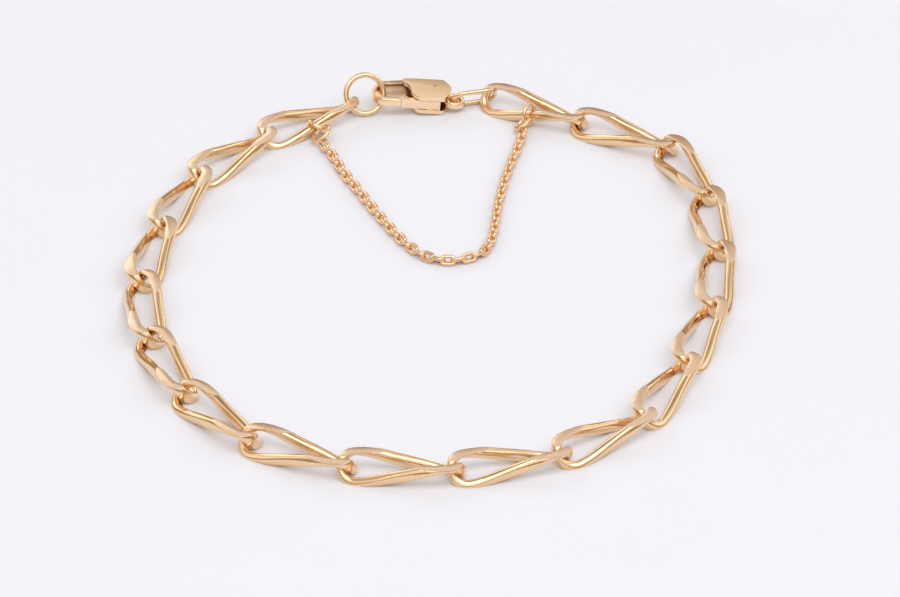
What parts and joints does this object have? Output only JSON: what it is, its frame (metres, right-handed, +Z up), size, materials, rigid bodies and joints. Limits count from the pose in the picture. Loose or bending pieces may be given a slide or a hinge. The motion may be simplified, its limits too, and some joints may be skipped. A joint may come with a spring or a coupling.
{
  "type": "link bracelet",
  "caption": "Gold link bracelet of twisted oval links filed flat, laid in a loop, with a trigger clasp, a large end ring and a fine safety chain.",
  "frame": {"origin": "bottom centre of the bounding box, on the surface that the bracelet lies on", "axes": "+Z up from that surface, +Y from the front of the loop to the clasp at its back, +X to the right seen from the front"},
  "size_m": [0.0571, 0.0687, 0.0039],
  "materials": {
    "links": "gold, polished wire with satin filed flats",
    "rings": "gold, polished",
    "clasp": "gold, lightly worn polish",
    "chain": "gold, polished fine wire"
  },
  "bodies": {
    "bracelet": {"link_01": "links", "link_02": "links", "link_03": "links", "link_04": "links", "link_05": "links", "link_06": "links", "link_07": "links", "link_08": "links", "link_09": "links", "link_10": "links", "link_11": "links", "link_12": "links", "link_13": "links", "link_14": "links", "link_15": "links", "link_16": "links", "link_17": "links", "link_18": "links", "end_ring": "rings", "clasp_body": "clasp", "clasp_pin": "clasp", "clasp_ring": "rings", "left_strand_ring": "rings", "left_chain_ring": "rings", "right_strand_ring": "rings", "right_chain_ring": "rings", "safety_chain": "chain"},
    "lever": {"clasp_lever": "clasp"}
  },
  "joints": [
    {"name": "gate_pivot", "type": "hinge", "parent": "bracelet", "child": "lever", "pos_m": [0.00022, 0.03297, 0.00106], "axis": [-0.1043, -0.0073, -0.9945], "range_deg": [0, 22], "stiffness_Nm_per_rad": 0.004, "springref_deg": -17.19}
  ]
}
